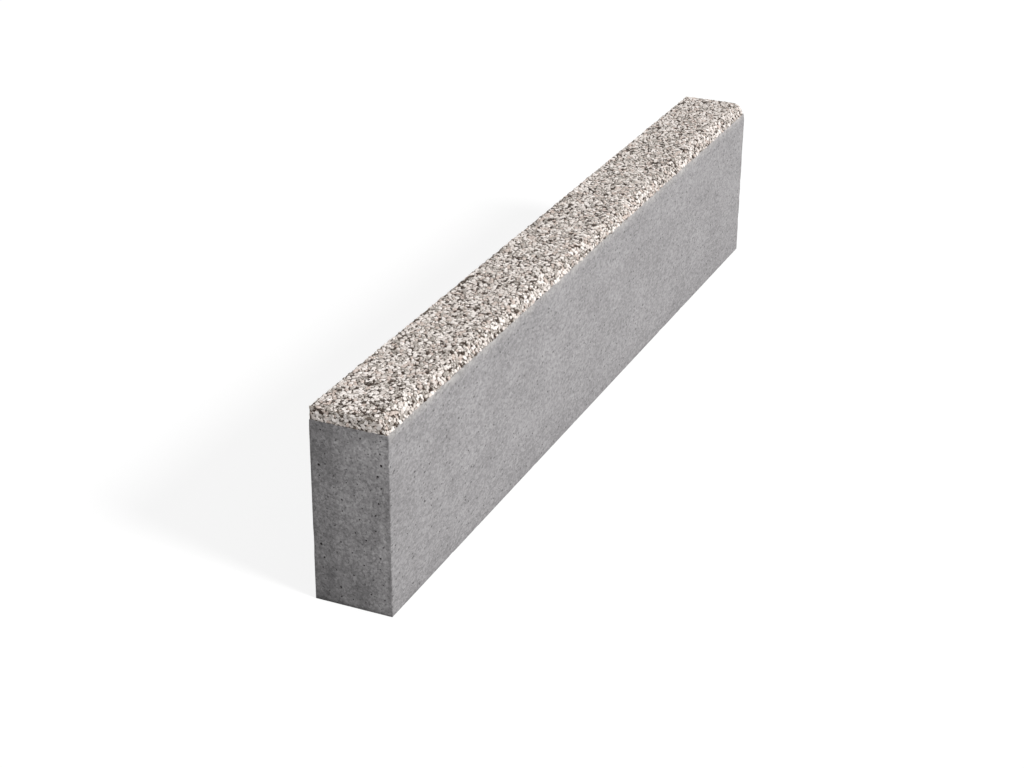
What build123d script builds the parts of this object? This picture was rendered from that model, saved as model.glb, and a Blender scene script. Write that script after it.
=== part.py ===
"""A straight concrete kerb stone, standing as it is laid.

It is pressed from two mixes in one mould: a grey concrete body, and a facing of granite chips
that is washed until its stones show. The top edge on the road side is rounded, longer down the
face than across the top, and the rounding runs from the facing into the body below it.

Millimetres. +X runs along the kerb, -Y faces the road and +Z is up. The origin is the middle
of the underside.
"""

import os

from build123d import *

# Overall size
length = 1000
width = 80
height = 200

# The facing's depth below the top
facing_depth = 13

# The rounding of the top edge on the road side: how far it reaches across the top and down the face
rounding_across = 16
rounding_down = 22

# The plane where the facing mix lies on the body's mix
facing_bed = Plane.XY.offset(height - facing_depth)

# The stone's cross-section, drawn on its near end: local x runs across and local y runs up.
road_side = -width / 2
back_side = width / 2
with BuildSketch(Plane.YZ.offset(-length / 2)) as cross_section:
    with BuildLine():
        Polyline(
            (road_side, height - rounding_down),
            (road_side, 0),
            (back_side, 0),
            (back_side, height),
            (road_side + rounding_across, height),
        )
        EllipticalCenterArc(
            center=(road_side + rounding_across, height - rounding_down),
            x_radius=rounding_across,
            y_radius=rounding_down,
            start_angle=90,
            arc_size=90,
        )
    make_face()

# The body is the cross-section below the facing's bed.
with BuildPart() as concrete_body:
    extrude(cross_section.sketch, amount=length)
    split(bisect_by=facing_bed, keep=Keep.BOTTOM)

# The facing is the rest of it, so the two fit whatever the depth and the rounding are.
with BuildPart() as granite_facing:
    extrude(cross_section.sketch, amount=length)
    split(bisect_by=facing_bed, keep=Keep.TOP)

concrete_body.part.label = "concrete_body"
granite_facing.part.label = "granite_facing"

os.makedirs("parts", exist_ok=True)
export_step(concrete_body.part, "parts/concrete_body.step")
export_step(granite_facing.part, "parts/granite_facing.step")
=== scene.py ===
"""A pressed concrete kerb stone with a facing of washed granite chips.

Metres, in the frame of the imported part: +X runs along the kerb, -Y faces the road and +Z is up.
The file is laid out as an add-on: the settings, an operator for each piece and one for the stage,
and a panel that lists them.
"""

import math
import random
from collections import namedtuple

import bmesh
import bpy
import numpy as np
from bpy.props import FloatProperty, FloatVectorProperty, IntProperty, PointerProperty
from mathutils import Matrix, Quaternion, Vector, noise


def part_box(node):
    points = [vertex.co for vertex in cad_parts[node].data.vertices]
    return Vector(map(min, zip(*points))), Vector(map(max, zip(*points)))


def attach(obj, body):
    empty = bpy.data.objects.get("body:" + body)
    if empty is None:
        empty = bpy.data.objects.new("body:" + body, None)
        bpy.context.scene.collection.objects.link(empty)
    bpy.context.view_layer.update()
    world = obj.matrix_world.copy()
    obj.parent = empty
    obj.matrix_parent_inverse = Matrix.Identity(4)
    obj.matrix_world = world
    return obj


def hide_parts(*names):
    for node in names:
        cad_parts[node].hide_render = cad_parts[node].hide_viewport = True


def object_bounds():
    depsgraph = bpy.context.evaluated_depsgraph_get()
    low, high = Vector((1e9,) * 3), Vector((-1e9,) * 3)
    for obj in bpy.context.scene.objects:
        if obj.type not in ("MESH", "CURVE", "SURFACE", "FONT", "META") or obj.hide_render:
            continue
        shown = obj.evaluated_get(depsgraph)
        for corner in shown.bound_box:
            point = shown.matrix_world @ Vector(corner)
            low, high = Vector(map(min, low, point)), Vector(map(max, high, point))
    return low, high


bl_info = {
    "name": "Washed Kerb Stone",
    "version": (1, 0, 0),
    "blender": (4, 5, 0),
    "location": "3D View > Sidebar > Kerb",
    "description": "Builds a concrete kerb stone with a facing of washed granite chips",
    "category": "Add Mesh",
}

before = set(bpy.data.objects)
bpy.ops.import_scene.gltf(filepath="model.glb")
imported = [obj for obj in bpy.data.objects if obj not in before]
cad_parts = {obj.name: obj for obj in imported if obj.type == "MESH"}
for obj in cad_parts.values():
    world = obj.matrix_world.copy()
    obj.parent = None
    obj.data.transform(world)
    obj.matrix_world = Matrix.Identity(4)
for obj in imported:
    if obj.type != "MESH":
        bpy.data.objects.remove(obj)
CAD_LOW, CAD_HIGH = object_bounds()
BODY_LOW, BODY_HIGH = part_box("concrete_body")
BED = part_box("granite_facing")[0].z
TINY = 1e-6
X, Y, Z = range(3)


def rounding_reach():
    """How far the rounded edge reaches across the top and down the road face, from the frame."""
    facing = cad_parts["granite_facing"].data.vertices
    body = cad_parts["concrete_body"].data.vertices
    across = min(v.co.y for v in facing if v.co.z > CAD_HIGH.z - TINY) - CAD_LOW.y
    down = CAD_HIGH.z - max(v.co.z for v in body if v.co.y < CAD_LOW.y + TINY)
    return across, down


ACROSS, DOWN = rounding_reach()
ARC_Y, ARC_Z = CAD_LOW.y + ACROSS, CAD_HIGH.z - DOWN

# One mineral of the granite: its piece, its colour and its flecks' colour in the settings, the
# flecks' share, the grain's contrast, and its share of the largest and of the smallest chips
Mineral = namedtuple("Mineral", "piece colour fleck fleck_share contrast among_large among_small")
MINERALS = (
    Mineral("white_chips", "white", "cream", 0.14, 0.12, 0.26, 0.10),
    Mineral("cream_chips", "cream", "white", 0.12, 0.16, 0.35, 0.18),
    Mineral("pink_chips", "pink", "white", 0.12, 0.16, 0.15, 0.13),
    Mineral("grey_chips", "grey", "white", 0.14, 0.20, 0.24, 0.27),
    # Dark chips: dark mica, and, by their large share among the small chips deep in the gaps,
    # painted shade there
    Mineral("dark_chips", "dark", "grey", 0.08, 0.35, 0.00, 0.43),
)

# A soft noise: the size of its features in metres, its detail, and the range it is spread over
Noise = namedtuple("Noise", "size detail low high")
NOISE_LOW, NOISE_HIGH = 0.3, 0.7

# The concrete's grain: sizes in metres, and factors on its colour
GRAIN_STRETCH = 1.6
MOTTLE = Noise(0.045, 3, 0.91, 1.08)
PATCHES = Noise(0.005, 2, 0.92, 1.08)
DUST = Noise(0.0012, 2, 0.89, 1.11)
SAND_SIZE = 0.0020
SAND_SHADES = (0.82, 1.18)
# Pinholes: dots darkened in the colour, painted shade in tiny holes, that also dent the bump
PINHOLE_CELL = 0.0042
PINHOLE_EDGE = (0.17, 0.29)
PINHOLE_FREE = 0.52
PINHOLE_PAINTED_SHADE = 0.65
CONCRETE_RELIEF = 0.0010
CONCRETE_RELIEF_STRENGTH = 0.5

# The concrete's tones, by place, with painted light and shade on the ends: heights and widths in
# metres, and changes of its colour
WANDER = Noise(0.02, 2, -0.003, 0.003)
FOOT_HEIGHT = 0.050
FOOT_TONE = 0.86
NEAR_THIRD = 0.35
NEAR_TONE = 0.94
END_MARGINS = (0.002, 0.001)
# Painted light on the ends: lighter towards the road side, darker towards the back and a little
# darker overall
PAINTED_END_LIGHT_ACROSS = 0.20
PAINTED_END_DARKENING = 0.03
END_FOOT_HEIGHT = 0.110
END_FOOT_CHANGE = -0.13
# Painted shade: dark rims along the ends' foot and road-side arris, frayed by noise
RIM_FRAY = Noise(0.006, 2, -0.001, 0.001)
ROAD_RIM = (0.002, 0.006)
FOOT_RIM = (0.001, 0.005)
PAINTED_RIM_SHADE = -0.30
DRAG = Noise(0.016, 2, -0.13, 0.13)
DRAG_STRETCH = 6
END_GRIT_POWER = 1.35
END_MOTTLE_POWER = 2.9
END_PATCH_POWER = 2.2
SLURRY_RUN = 0.012
SLURRY_FADE = 2.0
SLURRY_SHARE = 0.49

# The painted shade inside the air holes, the washed cement and the granite: sizes in metres,
# and factors
PORE_GRAIN = Noise(0.0012, 2, 0.7, 1.3)
CEMENT_SAND = 0.0008
CEMENT_SAND_SHADES = (0.6, 1.5)
CEMENT_CLOUDS = Noise(0.02, 2, 0.85, 1.15)
CEMENT_RELIEF = 0.0008
CEMENT_RELIEF_STRENGTH = 0.8
MINERAL_GRAIN = 0.0035
MINERAL_DETAIL = 3
FLECK_SIZE = 0.0007
FLECK_EDGE = 0.02
SPOT_CELL = 0.0034
SPOT_STRETCH = 1.8
SPOT_CELLS = (0.74, 0.76)
SPOT_EDGE = (0.24, 0.32)

# The body's shape: shares of a mesh cell or of an air hole's radius, and noise scales per metre
BODY_SEED = 41
BODY_SMOOTH = math.radians(35)
ARRIS_SEGMENTS = 2
UNSETTLED = 0.3
PORE_CLEARANCE = 1.6
PORE_START = 0.3
PORE_SMALLEST, PORE_SPREAD, PORE_POWER = 0.42, 0.58, 3
PORE_RAGGED = (0.75, 1.15)
PORE_LIP = 0.1
PORE_DEPTH = (0.8, 1.2)
PORE_TAPER = 0.7
WEAR_SCALE, WEAR_SHARE = 160, 0.18
BREAK_SCALE, BREAK_SHARE = 55, 2.2
BREAK_SHIFT = Vector((7, 3, 1))
BREAK_FROM = 0.32
WAVE_SCALE = 14
SAG_SCALE = 210

# The facing's shape: lengths in metres, and shares of the washed depth or of a chip's radius
CEMENT_CELL = 0.004
CEMENT_SMOOTH = math.radians(50)
CEMENT_INSET = 0.6
CEMENT_UNEVEN = 0.25
CEMENT_SCALE = 180
CEMENT_TUCK = 0.001
CEMENT_ARC_POINTS, CHIP_ARC_POINTS = 8, 24
CHIP_SEED = 103
STONE_KINDS = 32

# The rings of a stone's corners, from its top down: how many, their height and their reach
STONE_RINGS = ((6, 0.35, 0.80), (6, -0.10, 1.00), (2, -0.60, 0.40))
STONE_TURN = 0.35
STONE_REACH = (0.78, 1.12)
STONE_RISE = 0.1

# The sizes of chip, largest first: tries for each square metre, where in the range of radii they
# start and end, and how near they come as a share of touching
CHIP_GRADES = ((200e3, 0.40, 1.00, 0.74), (500e3, 0.15, 0.40, 0.73), (1200e3, 0.00, 0.15, 0.72))
END_CROWDING = 0.8
CHIP_DEPTH, END_CHIP_DEPTH = (0.15, 0.4), (0.25, 0.5)
SMALL_CHIP_DEPTH, SMALL_CHIP_POWER = 0.0006, 2
CHIP_LENGTH, CHIP_WIDTH = (1.0, 1.25), (0.75, 1.0)
SINK_POWER = 1.5
BACK_ARRIS_SHARE = 0.5
LARGENESS_POWER = 0.35
PATCHY_SCALE, PATCHY_STEP = 38, 9
PATCHY_CONTRAST, PATCHY_LEAST = 0.25, 0.1

# The stage
KEY_FROM, KEY_SOFTNESS = Vector((-0.14, -0.82, 0.55)), math.radians(14)
FILL_FROM, FILL_SOFTNESS = Vector((0.25, 0.92, 0.20)), math.radians(90)
FLOOR_GLOW, FLOOR_GLOW_SHARE = 1.08, 0.75
FLOOR_BOUNCE = 0.5
VIEW_LIMIT = 100


# Settings


class KerbBodySettings(bpy.types.PropertyGroup):
    cell: FloatProperty(
        name="Mesh Cell", description="Size of the cells that the faces are divided into",
        default=0.004, min=0.002, unit="LENGTH", precision=4)
    arris: FloatProperty(
        name="Arris Wear", description="Width of the worn arris between two faces",
        default=0.0005, min=0.0, unit="LENGTH", precision=4)
    nibble: FloatProperty(
        name="Arris Nibble", description="Depth of the deepest small break in an arris",
        default=0.0004, min=0.0, unit="LENGTH", precision=4)
    waviness: FloatProperty(
        name="Waviness", description="Depth of the unevenness that the mould leaves on a face",
        default=0.00015, min=0.0, unit="LENGTH", precision=5)
    bed_dip: FloatProperty(
        name="Bed Dip",
        description="How far the body's top edge dips where the facing's mix sagged into it",
        default=0.0016, min=0.0, unit="LENGTH", precision=4)
    end_pores: IntProperty(
        name="End Pores", description="Number of air holes in each end", default=100, min=0)
    side_pores: IntProperty(
        name="Side Pores", description="Number of air holes in each long face", default=420, min=0)
    end_pore_radius: FloatProperty(
        name="End Pore Radius", description="Radius of the widest air holes in the ends",
        default=0.0015, min=0.0, unit="LENGTH", precision=4)
    side_pore_radius: FloatProperty(
        name="Side Pore Radius", description="Radius of the widest air holes in the long faces",
        default=0.0010, min=0.0, unit="LENGTH", precision=4)
    colour: FloatVectorProperty(
        name="Concrete", description="Colour of the dry concrete",
        default=(0.321, 0.311, 0.315), size=3, min=0, max=1, subtype="COLOR")
    slurry: FloatVectorProperty(
        name="Slurry", description="Colour of the facing's slurry that ran down the long faces",
        default=(0.500, 0.475, 0.450), size=3, min=0, max=1, subtype="COLOR")
    # The dark colour inside the air holes is painted shade
    pore_painted_shade: FloatVectorProperty(
        name="Pore", description="Colour inside the air holes",
        default=(0.075, 0.070, 0.070), size=3, min=0, max=1, subtype="COLOR")


class KerbFacingSettings(bpy.types.PropertyGroup):
    washed: FloatProperty(
        name="Washed Depth", description="How far the cement between the chips is washed back",
        default=0.0009, min=0.0, unit="LENGTH", precision=4)
    largest: FloatProperty(
        name="Largest Chip", description="Radius of the largest granite chips",
        default=0.0034, min=0.0005, unit="LENGTH", precision=4)
    smallest: FloatProperty(
        name="Smallest Chip", description="Radius of the smallest granite chips",
        default=0.0012, min=0.0002, unit="LENGTH", precision=4)
    sink: FloatProperty(
        name="Chip Sink", description="How far the lowest chips lie below the mould's wall",
        default=0.0004, min=0.0, unit="LENGTH", precision=5)
    lean: FloatProperty(
        name="Chip Lean",
        description="How far the chips on the top and the road side lean, on average",
        default=math.radians(14), subtype="ANGLE")
    end_lean: FloatProperty(
        name="End Chip Lean", description="How far the chips in the ends lean, on average",
        default=math.radians(18), subtype="ANGLE")
    spin: FloatProperty(
        name="Chip Spin",
        description="How far the chips' long sides turn away from the kerb's length, on average",
        default=math.radians(40), subtype="ANGLE")
    arris: FloatProperty(
        name="Chip Arris",
        description="Width of the strip along an arris where chips have come off",
        default=0.0020, min=0.0, unit="LENGTH", precision=4)
    end_rise: FloatProperty(
        name="End Chip Rise", description="How far the chips in the ends face upwards, on average",
        default=math.radians(12), subtype="ANGLE")
    lost: FloatProperty(
        name="Lost Chips", description="Share of the chips along the arrises that have come off",
        default=0.64, min=0.0, max=1.0, subtype="FACTOR")
    # The cement is darker than real cement: partly its own colour, partly painted shade in the
    # washed gaps
    cement: FloatVectorProperty(
        name="Cement", description="Colour of the cement between the chips",
        default=(0.150, 0.122, 0.100), size=3, min=0, max=1, subtype="COLOR")
    white: FloatVectorProperty(
        name="White Quartz", description="Colour of the white chips",
        default=(0.832, 0.778, 0.740), size=3, min=0, max=1, subtype="COLOR")
    cream: FloatVectorProperty(
        name="Cream Feldspar", description="Colour of the cream chips",
        default=(0.645, 0.587, 0.546), size=3, min=0, max=1, subtype="COLOR")
    pink: FloatVectorProperty(
        name="Pink Feldspar", description="Colour of the pink chips",
        default=(0.538, 0.449, 0.400), size=3, min=0, max=1, subtype="COLOR")
    grey: FloatVectorProperty(
        name="Grey Granite", description="Colour of the grey chips",
        default=(0.335, 0.300, 0.268), size=3, min=0, max=1, subtype="COLOR")
    # Dark mica, and painted shade where the small dark chips fill the gaps
    dark: FloatVectorProperty(
        name="Dark Mica", description="Colour of the dark chips",
        default=(0.043, 0.027, 0.018), size=3, min=0, max=1, subtype="COLOR")


class KerbStageSettings(bpy.types.PropertyGroup):
    camera_place: FloatVectorProperty(
        name="Camera", description="Where the camera stands",
        default=(-1.8861, -0.7707, 0.9911), size=3, subtype="TRANSLATION", unit="LENGTH")
    heading: FloatProperty(
        name="Heading", description="Direction that the camera looks in, from +X towards +Y",
        default=math.radians(23.85), subtype="ANGLE")
    pitch: FloatProperty(
        name="Pitch", description="How far the camera looks down",
        default=math.radians(25.71), subtype="ANGLE")
    roll: FloatProperty(
        name="Roll", description="How far the camera leans about its line of sight",
        default=math.radians(0.45), subtype="ANGLE")
    lens: FloatProperty(
        name="Lens", description="Focal length, on a sensor 36 mm wide",
        default=70.54, min=1.0, unit="CAMERA")
    key_light: FloatProperty(
        name="Key Light", description="Strength of the lamp over the road side",
        default=3.05, min=0.0)
    fill_light: FloatProperty(
        name="Fill Light", description="Strength of the lamp behind the kerb",
        default=0.80, min=0.0)
    sky_light: FloatProperty(
        name="Sky Light", description="Strength of the even light from all round",
        default=0.42, min=0.0)
    floor_size: FloatProperty(
        name="Floor Size", description="Width of the floor", default=14.0, min=1.0, unit="LENGTH")
    floor_colour: FloatVectorProperty(
        name="Floor", description="Colour of the floor",
        default=(0.90, 0.90, 0.90), size=3, min=0, max=1, subtype="COLOR")


# Materials


class Recipe:
    """A material's node tree, and short ways to add to it."""

    def __init__(self, name):
        self.material = bpy.data.materials.new(name)
        self.material.use_nodes = True
        self.tree = self.material.node_tree
        self.shader = self.tree.nodes["Principled BSDF"]
        self.place = self.node("ShaderNodeTexCoord").outputs["Object"]

    def node(self, kind, **settings):
        """Adds a node of a kind, with its settings."""
        made = self.tree.nodes.new(kind)
        for name, value in settings.items():
            setattr(made, name, value)
        return made

    def set(self, socket, value):
        """Links a socket to another node's output, or gives it a plain value."""
        if isinstance(value, bpy.types.NodeSocket):
            self.tree.links.new(value, socket)
        else:
            socket.default_value = value

    def mottling(self, kind, place=None):
        """Soft noise of a kind, spread over the kind's range."""
        made = self.node("ShaderNodeTexNoise")
        self.set(made.inputs["Vector"], place or self.place)
        self.set(made.inputs["Scale"], 1 / kind.size)
        self.set(made.inputs["Detail"], kind.detail)
        return self.ramp(made.outputs["Fac"], NOISE_LOW, NOISE_HIGH, kind.low, kind.high)

    def grains(self, size, place=None):
        """Cells of about this size: the distance from each one's centre, and a shade for each."""
        made = self.node("ShaderNodeTexVoronoi")
        self.set(made.inputs["Vector"], place or self.place)
        self.set(made.inputs["Scale"], 1 / size)
        parts = self.node("ShaderNodeSeparateColor")
        self.set(parts.inputs["Color"], made.outputs["Color"])
        return made.outputs["Distance"], parts.outputs["Red"]

    def drawn_out(self, axis, amount):
        """The places for a pattern that is drawn out along an axis."""
        made = self.node("ShaderNodeVectorMath", operation="MULTIPLY")
        self.set(made.inputs[0], self.place)
        self.set(made.inputs[1], [1 / amount if axis == each else 1 for each in (X, Y, Z)])
        return made.outputs[0]

    def along(self, axis):
        """How far along an axis a place is."""
        made = self.node("ShaderNodeSeparateXYZ")
        self.set(made.inputs[0], self.place)
        return made.outputs[axis]

    def ramp(self, value, low, high, to_low=0.0, to_high=1.0):
        """Takes the values from low to high onto another range, and holds them there."""
        made = self.node("ShaderNodeMapRange", clamp=True)
        ends = {"From Min": low, "From Max": high, "To Min": to_low, "To Max": to_high}
        for name, number in ends.items():
            self.set(made.inputs[name], number)
        self.set(made.inputs["Value"], value)
        return made.outputs["Result"]

    def join(self, first, second, operation="MULTIPLY"):
        """Multiplies two values, or joins them by another operation."""
        made = self.node("ShaderNodeMath", operation=operation)
        self.set(made.inputs[0], first)
        self.set(made.inputs[1], second)
        return made.outputs[0]

    def shade(self, colour, factor):
        """A colour made lighter or darker by a factor."""
        made = self.node("ShaderNodeVectorMath", operation="SCALE")
        self.set(made.inputs[0], colour)
        self.set(made.inputs["Scale"], factor)
        return made.outputs[0]

    def mix(self, factor, first, second):
        """The first colour where the factor is 0, and the second where it is 1."""
        made = self.node("ShaderNodeMix", data_type="RGBA")
        self.set(made.inputs["Factor"], factor)
        self.set(made.inputs["A"], first)
        self.set(made.inputs["B"], second)
        return made.outputs["Result"]

    def change_where(self, mask, change):
        """A factor of 1 plus a change where a mask is 1, and of 1 elsewhere."""
        return self.join(self.join(mask, change), 1.0, "ADD")

    def stronger_where(self, mask, layer, power):
        """A layer whose contrast is raised to a power where a mask is 1."""
        return self.join(layer, self.ramp(mask, 0, 1, 1, power), "POWER")

    def bump(self, height, distance, strength):
        """Makes the surface catch the light as if it had this height."""
        made = self.node("ShaderNodeBump")
        self.set(made.inputs["Height"], height)
        self.set(made.inputs["Distance"], distance)
        self.set(made.inputs["Strength"], strength)
        self.set(self.shader.inputs["Normal"], made.outputs["Normal"])

    def finished(self, colour, roughness, specular):
        """Gives the shader its colour and its gloss, and returns the material."""
        self.set(self.shader.inputs["Base Color"], colour)
        self.set(self.shader.inputs["Roughness"], roughness)
        self.set(self.shader.inputs["Specular IOR Level"], specular)
        return self.material


def opaque(colour):
    """A colour of three numbers, with the fourth that nodes ask for."""
    return (*colour, 1.0)


def concrete_material(settings):
    """Dry pressed concrete: mottled, sandy, with a dark foot, slurry below the facing, and pinholes
    that are painted dark as shade.

    The ends have stronger contrast and upright streaks, dark rims of painted shade along the foot
    and the road-side arris, and painted light that makes them lighter towards the road side and a
    little darker overall.
    """
    recipe = Recipe("pressed concrete")
    lengthwise = recipe.drawn_out(X, GRAIN_STRETCH)
    from_middle = recipe.join(recipe.along(X), 0.0, "ABSOLUTE")
    end_from, end_to = (CAD_HIGH.x - margin for margin in END_MARGINS)
    on_long_faces = recipe.ramp(from_middle, end_from, end_to, 1, 0)
    on_ends = recipe.join(1.0, on_long_faces, "SUBTRACT")

    _, sand_shade = recipe.grains(SAND_SIZE, lengthwise)
    sand = recipe.ramp(sand_shade, 0, 1, *SAND_SHADES)
    grain = recipe.join(sand, recipe.mottling(DUST, lengthwise))
    # Pinholes: dots darkened in the colour as painted shade in tiny holes; they also dent the bump
    hole_distance, hole_shade = recipe.grains(PINHOLE_CELL, lengthwise)
    inside = recipe.ramp(hole_distance, *PINHOLE_EDGE, 1, 0)
    painted_hole_shade = recipe.ramp(hole_shade, PINHOLE_FREE, 1, 0, PINHOLE_PAINTED_SHADE)
    pinholes = recipe.join(1.0, recipe.join(inside, painted_hole_shade), "SUBTRACT")
    relief = recipe.join(grain, pinholes)
    grit = recipe.stronger_where(on_ends, relief, END_GRIT_POWER)
    mottle = recipe.stronger_where(on_ends, recipe.mottling(MOTTLE, lengthwise), END_MOTTLE_POWER)
    patches = recipe.stronger_where(on_ends, recipe.mottling(PATCHES, lengthwise), END_PATCH_POWER)

    level = recipe.join(recipe.along(Z), recipe.mottling(WANDER), "ADD")
    foot = recipe.ramp(level, CAD_LOW.z - WANDER.high, CAD_LOW.z + FOOT_HEIGHT, FOOT_TONE, 1)
    near_end = recipe.ramp(recipe.along(X), CAD_LOW.x, CAD_LOW.x + NEAR_THIRD, NEAR_TONE, 1.0)
    # Painted light on the ends: lighter towards the road side, where the light comes from, and a
    # little darker overall
    across = recipe.ramp(recipe.along(Y), CAD_LOW.y, CAD_HIGH.y, PAINTED_END_LIGHT_ACROSS, -PAINTED_END_LIGHT_ACROSS)
    painted_end_light = recipe.change_where(on_ends, recipe.join(across, PAINTED_END_DARKENING, "SUBTRACT"))
    rise = recipe.ramp(level, CAD_LOW.z, CAD_LOW.z + END_FOOT_HEIGHT, END_FOOT_CHANGE, 0.0)
    end_foot = recipe.change_where(on_ends, rise)
    # Painted shade on the ends: dark rims along the foot, a painted contact shadow, and along the
    # road-side arris
    fray = recipe.mottling(RIM_FRAY)
    rims = []
    for axis, (dark_to, clear_from) in ((Y, ROAD_RIM), (Z, FOOT_RIM)):
        frayed = recipe.join(recipe.along(axis), fray, "ADD")
        low = CAD_LOW[axis]
        rims.append(recipe.ramp(frayed, low + dark_to, low + clear_from, PAINTED_RIM_SHADE, 0.0))
    painted_end_rim_shade = recipe.change_where(on_ends, recipe.join(*rims, "MINIMUM"))
    streaks = recipe.change_where(on_ends, recipe.mottling(DRAG, recipe.drawn_out(Z, DRAG_STRETCH)))

    factor = recipe.join(mottle, patches)
    for layer in (grit, foot, painted_end_light, end_foot, painted_end_rim_shade, near_end, streaks):
        factor = recipe.join(factor, layer)
    near_facing = recipe.join(recipe.ramp(level, BED - SLURRY_RUN, BED), SLURRY_FADE, "POWER")
    run_down = recipe.join(recipe.join(near_facing, on_long_faces), SLURRY_SHARE)
    body = recipe.shade(settings.colour, factor)
    film = recipe.shade(settings.slurry, grain)
    recipe.bump(relief, CONCRETE_RELIEF, CONCRETE_RELIEF_STRENGTH)
    return recipe.finished(recipe.mix(run_down, body, film), roughness=0.9, specular=0.3)


def pore_shade_material(colour):
    """The inside of the air holes, rough, and dark with painted shade."""
    recipe = Recipe("air holes")
    shaded = recipe.shade(colour, recipe.mottling(PORE_GRAIN))
    return recipe.finished(shaded, roughness=0.95, specular=0.1)


def cement_material(colour):
    """The washed cement and sand between the chips, darker than real cement: partly its own colour,
    partly painted shade in the gaps.
    """
    recipe = Recipe("washed cement")
    sand_distance, sand_shade = recipe.grains(CEMENT_SAND)
    sand = recipe.ramp(sand_shade, 0, 1, *CEMENT_SAND_SHADES)
    shaded = recipe.shade(colour, recipe.join(sand, recipe.mottling(CEMENT_CLOUDS)))
    recipe.bump(sand_distance, CEMENT_RELIEF, CEMENT_RELIEF_STRENGTH)
    return recipe.finished(shaded, roughness=0.95, specular=0.2)


def mineral_material(settings, mineral):
    """One mineral of the granite: its own colour, with a cloudy grain, flecks and dark spots."""
    recipe = Recipe(mineral.piece.replace("_", " "))
    cloudy = Noise(MINERAL_GRAIN, MINERAL_DETAIL, 1 - mineral.contrast, 1 + mineral.contrast)
    own = recipe.shade(getattr(settings, mineral.colour), recipe.mottling(cloudy))
    _, fleck_shade = recipe.grains(FLECK_SIZE)
    fleck_from = 1 - mineral.fleck_share
    flecks = recipe.ramp(fleck_shade, fleck_from, fleck_from + FLECK_EDGE)
    flecked = recipe.mix(flecks, own, opaque(getattr(settings, mineral.fleck)))
    spot_distance, spot_shade = recipe.grains(SPOT_CELL, recipe.drawn_out(X, SPOT_STRETCH))
    round_spots = recipe.ramp(spot_distance, *SPOT_EDGE, 1, 0)
    spots = recipe.join(recipe.ramp(spot_shade, *SPOT_CELLS), round_spots)
    spotted = recipe.mix(spots, flecked, opaque(settings.dark))
    return recipe.finished(spotted, roughness=0.6, specular=0.25)


# Shapes


def link_piece(name, mesh):
    """Puts a finished mesh in the scene as a piece of the kerb."""
    piece = bpy.data.objects.new(name, mesh)
    bpy.context.scene.collection.objects.link(piece)
    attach(piece, "root")
    return piece


def block(bm, low, high):
    """A box from its lowest corner to its highest."""
    bmesh.ops.create_cube(bm, size=1)
    bmesh.ops.scale(bm, vec=high - low, verts=bm.verts)
    bmesh.ops.translate(bm, vec=(low + high) / 2, verts=bm.verts)


def cut_across(bm, axis, low, high, step):
    """Cuts a form by planes square to an axis, evenly spaced and at most a step apart."""
    count = math.ceil((high - low) / step)
    normal = Matrix.Identity(3)[axis]
    for number in range(1, count):
        everything = bm.verts[:] + bm.edges[:] + bm.faces[:]
        place = normal * (low + (high - low) * number / count)
        bmesh.ops.bisect_plane(bm, geom=everything, dist=TINY, plane_co=place, plane_no=normal)


def divide_lengthwise(bm, step):
    """Divides every edge that runs along the kerb, and the faces between them."""
    length = CAD_HIGH.x - CAD_LOW.x
    lengthwise = [e for e in bm.edges if abs(e.verts[0].co.x - e.verts[1].co.x) > length / 2]
    cuts = math.ceil(length / step) - 1
    bmesh.ops.subdivide_edges(bm, edges=lengthwise, cuts=cuts, use_grid_fill=True)


def walls_near(point, margin):
    """The axes along which a point of the body lies within a margin of one of its walls."""
    near = []
    for axis in (X, Y, Z):
        if point[axis] < BODY_LOW[axis] + margin or point[axis] > BODY_HIGH[axis] - margin:
            near.append(axis)
    return near


def unsettle(bm, margin, amount, draw):
    """Shifts the flat faces' vertices within their faces, so that their pattern isn't a grid."""
    for vertex in bm.verts:
        if len(walls_near(vertex.co, TINY)) != 1 or len(walls_near(vertex.co, margin)) != 1:
            continue
        flat = walls_near(vertex.co, TINY)[0]
        for axis in {X, Y, Z} - {flat}:
            vertex.co[axis] += draw.uniform(-amount, amount)


def pore_places(bm, end_count, side_count, cell, draw):
    """Picks vertices for air holes: so many on each end, and so many on each of the other faces."""
    clear = PORE_CLEARANCE * cell
    inside = [
        v for v in bm.verts
        if len(walls_near(v.co, TINY)) == 1 and len(walls_near(v.co, clear)) == 1]
    draw.shuffle(inside)
    taken = set()
    chosen = []
    counts = {}
    for vertex in inside:
        axis = walls_near(vertex.co, TINY)[0]
        face = (axis, vertex.co[axis] > (BODY_LOW[axis] + BODY_HIGH[axis]) / 2)
        limit = end_count if axis == X else side_count
        around = {v for f in vertex.link_faces for v in f.verts}
        if counts.get(face, 0) < limit and not around & taken:
            chosen.append(vertex)
            taken |= around
            counts[face] = counts.get(face, 0) + 1
    return chosen


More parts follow.
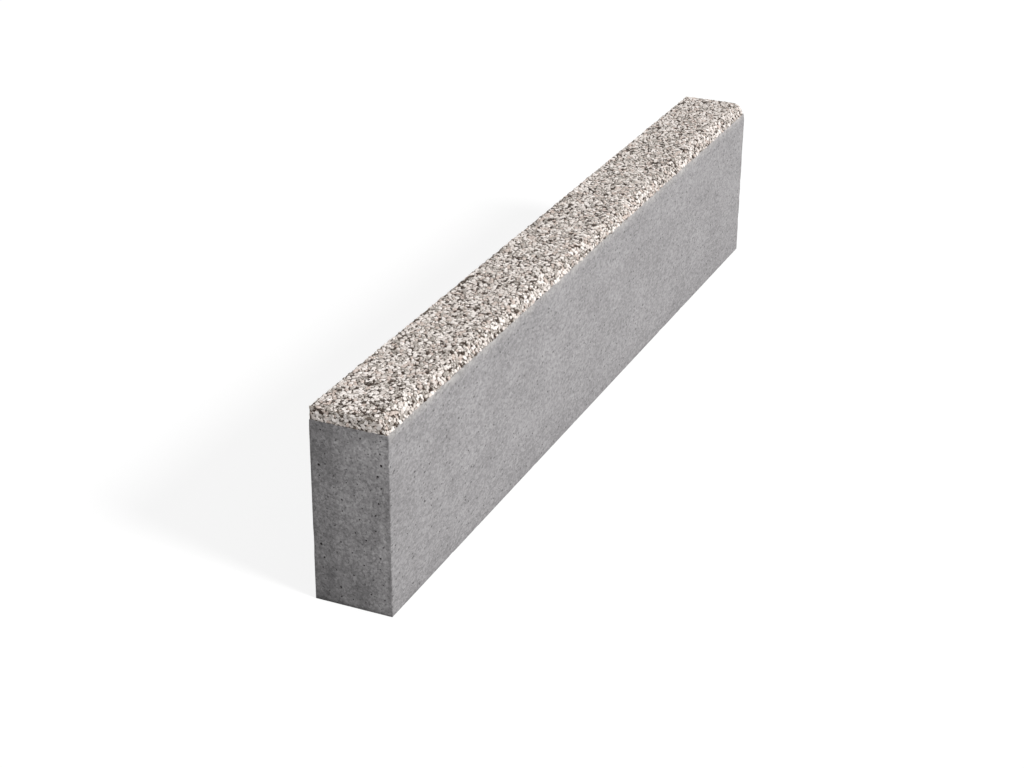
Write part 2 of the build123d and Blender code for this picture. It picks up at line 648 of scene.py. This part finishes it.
def open_pores(bm, vertices, widest_on_end, widest_on_side, draw):
    """Opens an air hole at each vertex, most of them small, and gives the faces inside them."""
    made = bmesh.ops.bevel(
        bm, geom=vertices, offset=PORE_START * widest_on_side, offset_type="OFFSET", segments=1,
        profile=0.5, affect="VERTICES", material=-1, clamp_overlap=True)
    mouths = made["faces"]
    rims = list({e for f in mouths for e in f.edges})
    bmesh.ops.subdivide_edges(bm, edges=rims, cuts=1)
    radii = []
    for mouth in mouths:
        widest = widest_on_end if abs(mouth.normal.x) > 0.5 else widest_on_side
        radii.append(widest * (PORE_SMALLEST + PORE_SPREAD * draw.random() ** PORE_POWER))
    for mouth, radius in zip(mouths, radii):
        middle = mouth.calc_center_median()
        for vertex in mouth.verts:
            spoke = (vertex.co - middle).normalized()
            vertex.co = middle + spoke * radius * draw.uniform(*PORE_RAGGED)
    lip = PORE_LIP * widest_on_side
    walls = bmesh.ops.inset_individual(bm, faces=mouths, thickness=lip, depth=0)["faces"]
    for mouth, radius in zip(mouths, radii):
        middle = mouth.calc_center_median()
        inwards = mouth.normal * radius * draw.uniform(*PORE_DEPTH)
        for vertex in mouth.verts:
            vertex.co = middle + PORE_TAPER * (vertex.co - middle) - inwards
    return walls + mouths


def drift(place):
    """Soft noise at a place, around a half."""
    return 0.5 + 0.5 * noise.noise(place)


def nibbled(place, deepest):
    """How far an arris is worn back at a place: a little everywhere, and more in small breaks."""
    fine = abs(noise.noise(place * WEAR_SCALE))
    breaks = max(0.0, noise.noise(place * BREAK_SCALE + BREAK_SHIFT) - BREAK_FROM)
    return deepest * min(1.0, WEAR_SHARE * fine + BREAK_SHARE * breaks)


def wear(bm, margin, deepest, waviness):
    """Wears the arrises back, and gives the faces the slight waviness of the mould."""
    middle = (BODY_LOW + BODY_HIGH) / 2
    for vertex in bm.verts:
        near = walls_near(vertex.co, margin)
        if vertex.co.z > BED - margin:
            near = [axis for axis in near if axis != Z]
        amount = nibbled(vertex.co, deepest) if len(near) > 1 else 0.0
        if len(near) == 1:
            amount = waviness * drift(vertex.co * WAVE_SCALE)
        for axis in near:
            vertex.co[axis] += amount if vertex.co[axis] < middle[axis] else -amount


def sag_bed(bm, margin, dip):
    """Lets the body's top edge dip unevenly, all round the outside."""
    for vertex in bm.verts:
        if vertex.co.z > BED - TINY and len(walls_near(vertex.co, margin)) > 1:
            vertex.co.z -= dip * drift(vertex.co * SAG_SCALE)


def round_road_side(bm, depth):
    """Sets the road face back where the rounded edge runs down into the body."""
    for vertex in bm.verts:
        rise = (vertex.co.z - ARC_Z) / DOWN
        if rise > 0 and vertex.co.y < BODY_LOW.y + depth:
            vertex.co.y += ACROSS * (1 - math.sqrt(1 - rise * rise))


def shade_smooth(mesh, sharp_over):
    """Shades a mesh smoothly, apart from the edges that turn by more than an angle."""
    mesh.polygons.foreach_set("use_smooth", [True] * len(mesh.polygons))
    mesh.set_sharp_from_angle(angle=sharp_over)


def section(sink, foot, arc_points):
    """The facing's outline across the kerb, sunk below the walls: y and z, from the back."""
    across, down = ACROSS - sink, DOWN - sink
    start = math.asin((foot - ARC_Z) / down)
    outline = [(CAD_HIGH.y - sink, foot), (CAD_HIGH.y - sink, CAD_HIGH.z - sink)]
    for number in range(arc_points):
        angle = math.pi / 2 + (start - math.pi / 2) * number / (arc_points - 1)
        outline.append((ARC_Y - across * math.cos(angle), ARC_Z + down * math.sin(angle)))
    return outline


def rounded_off(distances, radius):
    """How far a face falls away at these distances from a rounded arris."""
    short = np.clip(radius - distances, 0, radius)
    return radius - np.sqrt(radius ** 2 - short ** 2)


def press(points, sinks, feet, arris):
    """Keeps points within the mould's walls, each with its own sink below them and its own foot."""
    x = np.clip(points[:, X], CAD_LOW.x + sinks, CAD_HIGH.x - sinks)
    sinks = sinks + rounded_off(np.minimum(x - CAD_LOW.x, CAD_HIGH.x - x) - sinks, arris)
    y = np.minimum(points[:, Y], CAD_HIGH.y - sinks)
    falls = rounded_off(CAD_HIGH.y - y - sinks, BACK_ARRIS_SHARE * arris)
    z = np.minimum(points[:, Z], CAD_HIGH.z - sinks - falls)
    reach = np.hypot((y - ARC_Y) / (ACROSS - sinks), (z - ARC_Z) / (DOWN - sinks))
    past = (y < ARC_Y) & (z > ARC_Z) & (reach > 1)
    pull = np.where(past, 1 / np.maximum(reach, TINY), 1.0)
    y = ARC_Y + (y - ARC_Y) * pull
    z = np.maximum(ARC_Z + (z - ARC_Z) * pull, feet)
    return np.stack([x, y, z], axis=1)


def crushed_stones(count, draw):
    """Angular stones of about unit radius, lying on their broad side, as (vertices, triangles)."""
    stones = []
    for _ in range(count):
        bm = bmesh.new()
        for corners, height, reach in STONE_RINGS:
            for corner in range(corners):
                angle = math.tau * (corner + draw.uniform(-STONE_TURN, STONE_TURN)) / corners
                heading = Vector((math.cos(angle), math.sin(angle), 0))
                spoke = heading * reach * draw.uniform(*STONE_REACH)
                bm.verts.new(spoke + Vector((0, 0, height + draw.uniform(-STONE_RISE, STONE_RISE))))
        bmesh.ops.convex_hull(bm, input=bm.verts)
        bmesh.ops.delete(bm, geom=[v for v in bm.verts if not v.link_faces], context="VERTS")
        bmesh.ops.recalc_face_normals(bm, faces=bm.faces)
        bmesh.ops.triangulate(bm, faces=bm.faces)
        bm.verts.index_update()
        vertices = np.array([v.co[:] for v in bm.verts])
        triangles = np.array([[v.index for v in f.verts] for f in bm.faces])
        stones.append((vertices, triangles))
        bm.free()
    return stones


def scatter(width, height, grades, draw):
    """Strews chips over a rectangle, the large ones first: (across, up, radius) for each."""
    pitch = 2 * max(largest for _, _, largest, _ in grades)
    shelves = {}
    strewn = []
    for tries, smallest, largest, closeness in grades:
        for _ in range(tries):
            radius = draw.uniform(smallest, largest)
            across, up = draw.uniform(0, width), draw.uniform(0, height)
            column, row = int(across / pitch), int(up / pitch)
            shelves_near = [(column + i, row + j) for i in (-1, 0, 1) for j in (-1, 0, 1)]
            near = [chip for shelf in shelves_near for chip in shelves.get(shelf, ())]
            if all(math.hypot(across - a, up - u) > closeness * (radius + r) for a, u, r in near):
                chip = (across, up, radius)
                shelves.setdefault((column, row), []).append(chip)
                strewn.append(chip)
    return strewn


# Operators


class KERB_OT_concrete_body(bpy.types.Operator):
    """Makes the grey concrete body, with its worn arrises and its air holes"""

    bl_idname = "kerb.concrete_body"
    bl_label = "Concrete Body"

    def execute(self, context):
        settings = context.scene.kerb_body
        draw = random.Random(BODY_SEED)
        bm = bmesh.new()
        block(bm, BODY_LOW, BODY_HIGH)
        arrises = [e for e in bm.edges if min(v.co.z for v in e.verts) < BODY_HIGH.z - TINY]
        bmesh.ops.bevel(
            bm, geom=arrises, offset=settings.arris, offset_type="OFFSET", segments=ARRIS_SEGMENTS,
            profile=0.5, affect="EDGES", material=-1, clamp_overlap=True)
        cut_across(bm, Y, BODY_LOW.y, BODY_HIGH.y, settings.cell)
        cut_across(bm, Z, BODY_LOW.z, BODY_HIGH.z, settings.cell)
        divide_lengthwise(bm, settings.cell)
        margin = settings.arris + TINY
        unsettle(bm, margin, UNSETTLED * settings.cell, draw)
        places = pore_places(bm, settings.end_pores, settings.side_pores, settings.cell, draw)
        holes = open_pores(bm, places, settings.end_pore_radius, settings.side_pore_radius, draw)
        # The faces inside the air holes get the dark material of painted shade
        for face in holes:
            face.material_index = 1
        sag_bed(bm, margin, settings.bed_dip)
        wear(bm, margin, settings.nibble, settings.waviness)
        round_road_side(bm, 2 * settings.side_pore_radius)
        mesh = bpy.data.meshes.new("concrete_body_cast")
        bm.to_mesh(mesh)
        bm.free()
        shade_smooth(mesh, BODY_SMOOTH)
        mesh.materials.append(concrete_material(settings))
        mesh.materials.append(pore_shade_material(settings.pore_painted_shade))
        piece = link_piece("concrete_body_cast", mesh)
        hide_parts("concrete_body")
        return {"FINISHED"}


class KERB_OT_facing_cement(bpy.types.Operator):
    """Makes the washed cement that holds the granite chips"""

    bl_idname = "kerb.facing_cement"
    bl_label = "Facing Cement"

    def execute(self, context):
        settings = context.scene.kerb_facing
        foot = BED - context.scene.kerb_body.bed_dip - CEMENT_TUCK
        bm = bmesh.new()
        start = CAD_LOW.x + CEMENT_INSET * settings.washed
        outline = section(settings.washed, foot, CEMENT_ARC_POINTS)
        ring = [bm.verts.new((start, y, z)) for y, z in outline]
        near_end = bm.faces.new(ring)
        far = bmesh.ops.extrude_face_region(bm, geom=[near_end], use_keep_orig=True)["geom"]
        far_vertices = [item for item in far if isinstance(item, bmesh.types.BMVert)]
        run = Vector((CAD_HIGH.x - CAD_LOW.x - 2 * CEMENT_INSET * settings.washed, 0, 0))
        bmesh.ops.translate(bm, vec=run, verts=far_vertices)
        bmesh.ops.recalc_face_normals(bm, faces=bm.faces)
        cut_across(bm, Y, CAD_LOW.y, CAD_HIGH.y, CEMENT_CELL)
        cut_across(bm, Z, BED, CAD_HIGH.z, CEMENT_CELL)
        divide_lengthwise(bm, CEMENT_CELL)
        for vertex in bm.verts:
            if vertex.co.z > BED + TINY:
                sunk = CEMENT_UNEVEN * settings.washed * (1 + noise.noise(vertex.co * CEMENT_SCALE))
                vertex.co -= vertex.normal * sunk
        mesh = bpy.data.meshes.new("facing_cement")
        bm.to_mesh(mesh)
        bm.free()
        shade_smooth(mesh, CEMENT_SMOOTH)
        mesh.materials.append(cement_material(settings.cement))
        piece = link_piece("facing_cement", mesh)
        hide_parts("granite_facing")
        return {"FINISHED"}


class KERB_OT_granite_chips(bpy.types.Operator):
    """Strews the granite chips over the facing and presses them flush with the mould"""

    bl_idname = "kerb.granite_chips"
    bl_label = "Granite Chips"

    def execute(self, context):
        settings = context.scene.kerb_facing
        draw = random.Random(CHIP_SEED)
        stones = crushed_stones(STONE_KINDS, draw)
        chips = self.surface_chips(settings, draw) + self.end_chips(settings, draw)
        sorted_chips = {mineral.piece: [] for mineral in MINERALS}
        for chip in chips:
            sorted_chips[self.mineral_of(chip, settings, draw).piece].append(chip)
        for mineral in MINERALS:
            mesh = self.joined(mineral.piece, sorted_chips[mineral.piece], stones, draw)
            mesh.materials.append(mineral_material(settings, mineral))
            link_piece(mineral.piece, mesh)
        return {"FINISHED"}

    @staticmethod
    def grades(settings, area, crowding=1.0):
        """The sizes of chip for an area: (tries, smallest and largest radius, closeness)."""
        small, span = settings.smallest, settings.largest - settings.smallest
        return [
            (round(tries * area), small + start * span, small + end * span, closeness * crowding)
            for tries, start, end, closeness in CHIP_GRADES]

    def surface_chips(self, settings, draw):
        """Chips over the back strip, the top and the rounded edge: (place, way out, radius)."""
        outline = np.array(section(0.0, BED, CHIP_ARC_POINTS))
        steps = np.diff(outline, axis=0)
        runs = np.concatenate([[0.0], np.cumsum(np.hypot(steps[:, 0], steps[:, 1]))])
        length = CAD_HIGH.x - CAD_LOW.x
        grades = self.grades(settings, length * runs[-1])
        chips = []
        for along, around, radius in scatter(length, runs[-1], grades, draw):
            part = min(np.searchsorted(runs, around, side="right") - 1, len(steps) - 1)
            heading_y, heading_z = steps[part] / np.hypot(*steps[part])
            y, z = outline[part] + (around - runs[part]) * np.array((heading_y, heading_z))
            outwards = Vector((0, heading_z, -heading_y))
            depth = radius * draw.uniform(*CHIP_DEPTH) + self.extra_depth(settings, radius)
            place = Vector((CAD_LOW.x + along, y, z))
            if not self.comes_off(settings, place, draw):
                chips.append((place - outwards * depth, outwards, radius))
        return chips

    def end_chips(self, settings, draw):
        """Chips over the facing's section at both ends."""
        width, height = CAD_HIGH.y - CAD_LOW.y, CAD_HIGH.z - BED
        level, up_a_bit = math.cos(settings.end_rise), math.sin(settings.end_rise)
        grades = self.grades(settings, width * height, END_CROWDING)
        chips = []
        for wall, outwards in ((CAD_LOW.x, -1), (CAD_HIGH.x, 1)):
            for across, up, radius in scatter(width, height, grades, draw):
                y, z = CAD_LOW.y + across, BED + up
                inside = y > ARC_Y or math.hypot((y - ARC_Y) / ACROSS, (z - ARC_Z) / DOWN) < 1
                if inside and not self.comes_off(settings, Vector((wall, y, z)), draw):
                    x = wall - outwards * radius * draw.uniform(*END_CHIP_DEPTH)
                    way_out = Vector((outwards * level, 0, up_a_bit))
                    chips.append((Vector((x, y, z)), way_out, radius))
        return chips

    @staticmethod
    def comes_off(settings, place, draw):
        """Whether a chip has come off an arris: of the ends, or between the top and the back."""
        walls = (
            place.x - CAD_LOW.x, CAD_HIGH.x - place.x, CAD_HIGH.y - place.y, CAD_HIGH.z - place.z)
        near = sum(distance < settings.arris for distance in walls)
        return near > 1 and draw.random() < settings.lost

    @staticmethod
    def largeness(settings, radius):
        """Where a radius lies between the smallest chips' and the largest chips', from 0 to 1."""
        part = (radius - settings.smallest) / (settings.largest - settings.smallest)
        return min(1.0, max(0.0, part))

    def extra_depth(self, settings, radius):
        """How much deeper a small chip lies, between the others."""
        return SMALL_CHIP_DEPTH * (1 - self.largeness(settings, radius)) ** SMALL_CHIP_POWER

    def mineral_of(self, chip, settings, draw):
        """Draws a chip's mineral, by its size and its place, so that the facing is patchy.

        The small chips lie deeper in the gaps and are more often dark: dark mica, and painted shade
        there.
        """
        place, _, radius = chip
        largeness = self.largeness(settings, radius) ** LARGENESS_POWER
        shares = []
        for number, mineral in enumerate(MINERALS):
            share = mineral.among_small + largeness * (mineral.among_large - mineral.among_small)
            patchy = noise.noise(place * PATCHY_SCALE + Vector((0, 0, PATCHY_STEP * number)))
            shares.append(share * max(PATCHY_LEAST, 1 + PATCHY_CONTRAST * patchy))
        return draw.choices(MINERALS, weights=shares)[0]

    @staticmethod
    def joined(name, chips, stones, draw):
        """One mesh of all the chips of a mineral, each turned and squashed its own way."""
        facing, body = bpy.context.scene.kerb_facing, bpy.context.scene.kerb_body
        corners, triangles, sinks, feet, count = [], [], [], [], 0
        for place, outwards, radius in chips:
            vertices, faces = draw.choice(stones)
            spin = Quaternion((0, 0, 1), draw.gauss(0, facing.spin))
            lean_spread = facing.end_lean if outwards.x else facing.lean
            lean = Quaternion((1, 0, 0), draw.gauss(0, lean_spread))
            turn = np.array((outwards.to_track_quat("Z", "Y") @ spin @ lean).to_matrix())
            squash = np.array([draw.uniform(*CHIP_LENGTH), draw.uniform(*CHIP_WIDTH), 1.0])
            corners.append((vertices * squash * radius) @ turn.T + np.array(place))
            sinks.append(np.full(len(vertices), facing.sink * draw.random() ** SINK_POWER))
            feet.append(np.full(len(vertices), BED - body.bed_dip * draw.random()))
            triangles.append(faces + count)
            count += len(vertices)
        points = press(
            np.concatenate(corners), np.concatenate(sinks), np.concatenate(feet), facing.arris)
        mesh = bpy.data.meshes.new(name)
        mesh.from_pydata(points.tolist(), [], np.concatenate(triangles).tolist())
        return mesh


class KERB_OT_stage(bpy.types.Operator):
    """Sets up the floor, the lamps and the camera"""

    bl_idname = "kerb.stage"
    bl_label = "Stage"

    def execute(self, context):
        settings = context.scene.kerb_stage
        self.floor(settings)
        self.sky(context.scene, settings)
        self.lamp("key", settings.key_light, KEY_FROM, KEY_SOFTNESS)
        self.lamp("fill", settings.fill_light, FILL_FROM, FILL_SOFTNESS)
        self.camera(context.scene, settings)
        context.scene.view_settings.view_transform = "Standard"
        return {"FINISHED"}

    @staticmethod
    def seen(tree):
        """1 for the rays that find the pale background, and 0 for those that light the kerb."""
        path = tree.nodes.new("ShaderNodeLightPath")
        shows = path.outputs["Is Camera Ray"]
        for name in ("Is Glossy Ray", "Is Transmission Ray"):
            either = tree.nodes.new("ShaderNodeMath")
            either.operation = "MAXIMUM"
            tree.links.new(shows, either.inputs[0])
            tree.links.new(path.outputs[name], either.inputs[1])
            shows = either.outputs[0]
        return shows

    def floor(self, settings):
        """A pale floor that keeps the kerb's shadow."""
        bm = bmesh.new()
        bmesh.ops.create_grid(bm, x_segments=2, y_segments=2, size=settings.floor_size / 2)
        bmesh.ops.translate(bm, vec=(0, 0, CAD_LOW.z), verts=bm.verts)
        mesh = bpy.data.meshes.new("floor")
        bm.to_mesh(mesh)
        bm.free()
        recipe = Recipe("pale floor")
        tree = recipe.tree
        tree.nodes.remove(recipe.shader)
        matt = recipe.node("ShaderNodeBsdfDiffuse")
        recipe.set(matt.inputs["Color"], opaque(settings.floor_colour))
        dull = recipe.node("ShaderNodeBsdfDiffuse")
        recipe.set(dull.inputs["Color"], opaque(FLOOR_BOUNCE * np.array(settings.floor_colour)))
        glow = recipe.node("ShaderNodeEmission")
        pale = recipe.node("ShaderNodeMixShader")
        recipe.set(pale.inputs[0], FLOOR_GLOW_SHARE)
        recipe.set(glow.inputs["Strength"], FLOOR_GLOW)
        tree.links.new(matt.outputs[0], pale.inputs[1])
        tree.links.new(glow.outputs[0], pale.inputs[2])
        choice = recipe.node("ShaderNodeMixShader")
        recipe.set(choice.inputs[0], self.seen(tree))
        tree.links.new(dull.outputs[0], choice.inputs[1])
        tree.links.new(pale.outputs[0], choice.inputs[2])
        tree.links.new(choice.outputs[0], tree.nodes["Material Output"].inputs["Surface"])
        mesh.materials.append(recipe.material)
        floor = bpy.data.objects.new("floor", mesh)
        bpy.context.scene.collection.objects.link(floor)

    def sky(self, scene, settings):
        """An even light from all round, which looks white to the camera."""
        scene.world = bpy.data.worlds.new("sky")
        scene.world.use_nodes = True
        tree = scene.world.node_tree
        background = tree.nodes["Background"]
        background.inputs["Color"].default_value = opaque((1, 1, 1))
        strength = tree.nodes.new("ShaderNodeMapRange")
        strength.inputs["To Min"].default_value = settings.sky_light
        strength.inputs["To Max"].default_value = 1.0
        tree.links.new(self.seen(tree), strength.inputs["Value"])
        tree.links.new(strength.outputs["Result"], background.inputs["Strength"])

    @staticmethod
    def lamp(name, strength, shines_from, softness):
        """A far lamp that shines from a direction, with soft shadows."""
        light = bpy.data.lights.new(name, "SUN")
        light.energy = strength
        light.angle = softness
        lamp = bpy.data.objects.new(name, light)
        lamp.rotation_euler = shines_from.to_track_quat("Z", "Y").to_euler()
        bpy.context.scene.collection.objects.link(lamp)

    @staticmethod
    def camera(scene, settings):
        """The photograph's view: from in front of the near end, on the road side, looking down."""
        heading, pitch, roll = settings.heading, settings.pitch, settings.roll
        level_reach = math.cos(pitch)
        ahead = Vector((
            level_reach * math.cos(heading), level_reach * math.sin(heading), -math.sin(pitch)))
        level_right = Vector((math.sin(heading), -math.cos(heading), 0))
        level_up = level_right.cross(ahead)
        right = math.cos(roll) * level_right + math.sin(roll) * level_up
        up = math.cos(roll) * level_up - math.sin(roll) * level_right
        lens = bpy.data.cameras.new("camera")
        lens.lens = settings.lens
        lens.clip_end = VIEW_LIMIT
        camera = bpy.data.objects.new("camera", lens)
        axes = Matrix((right, up, -ahead)).transposed()
        camera.matrix_world = Matrix.Translation(settings.camera_place) @ axes.to_4x4()
        scene.collection.objects.link(camera)
        scene.camera = camera


class KERB_PT_panel(bpy.types.Panel):
    """Lists what builds the kerb"""

    bl_idname = "KERB_PT_panel"
    bl_label = "Kerb Stone"
    bl_space_type = "VIEW_3D"
    bl_region_type = "UI"
    bl_category = "Kerb"

    def draw(self, context):
        for settings, operators in (
            (context.scene.kerb_body, (KERB_OT_concrete_body,)),
            (context.scene.kerb_facing, (KERB_OT_facing_cement, KERB_OT_granite_chips)),
            (context.scene.kerb_stage, (KERB_OT_stage,)),
        ):
            box = self.layout.box()
            for name in settings.__annotations__:
                box.prop(settings, name)
            for operator in operators:
                box.operator(operator.bl_idname)


CLASSES = (
    KerbBodySettings, KerbFacingSettings, KerbStageSettings, KERB_OT_concrete_body,
    KERB_OT_facing_cement, KERB_OT_granite_chips, KERB_OT_stage, KERB_PT_panel)


def register():
    for item in CLASSES:
        bpy.utils.register_class(item)
    bpy.types.Scene.kerb_body = PointerProperty(type=KerbBodySettings)
    bpy.types.Scene.kerb_facing = PointerProperty(type=KerbFacingSettings)
    bpy.types.Scene.kerb_stage = PointerProperty(type=KerbStageSettings)


def unregister():
    del bpy.types.Scene.kerb_stage
    del bpy.types.Scene.kerb_facing
    del bpy.types.Scene.kerb_body
    for item in reversed(CLASSES):
        bpy.utils.unregister_class(item)


def main():
    register()
    bpy.ops.kerb.concrete_body()
    bpy.ops.kerb.facing_cement()
    bpy.ops.kerb.granite_chips()
    bpy.ops.kerb.stage()


if __name__ == "__main__":
    main()
